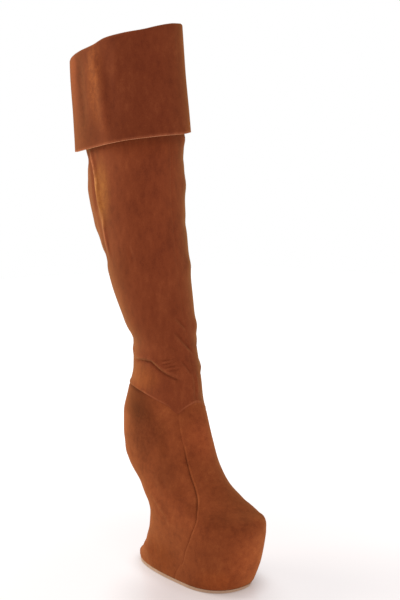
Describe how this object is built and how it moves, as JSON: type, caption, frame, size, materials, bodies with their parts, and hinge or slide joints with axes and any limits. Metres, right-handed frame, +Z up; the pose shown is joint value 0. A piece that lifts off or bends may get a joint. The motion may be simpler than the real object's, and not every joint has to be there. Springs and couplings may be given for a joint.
{
  "type": "wedge boot",
  "caption": "Heelless over-the-knee suede wedge boot with a platform sole hollowed at the back, a V-shaped ankle seam and a fold-down cuff slit at the back.",
  "frame": {"origin": "on the floor under the middle of the ball line, on the flat of the outsole", "axes": "+Z up; the toe points along -Y; +X is the wearer's left, the inside of this right boot"},
  "size_m": [0.1221, 0.2957, 0.6639],
  "materials": {
    "outsole_rubber": "pale tan, matt",
    "wedge_core": "bare, hidden under the suede",
    "insole_leather": "smooth tan",
    "suede": "rust-brown suede, matt nap"
  },
  "bodies": {
    "root": {"outsole": "outsole_rubber", "wedge": "wedge_core", "insole": "insole_leather", "upper": "suede", "shaft_outer": "suede", "shaft_inner": "suede", "cuff": "suede"}
  },
  "joints": []
}
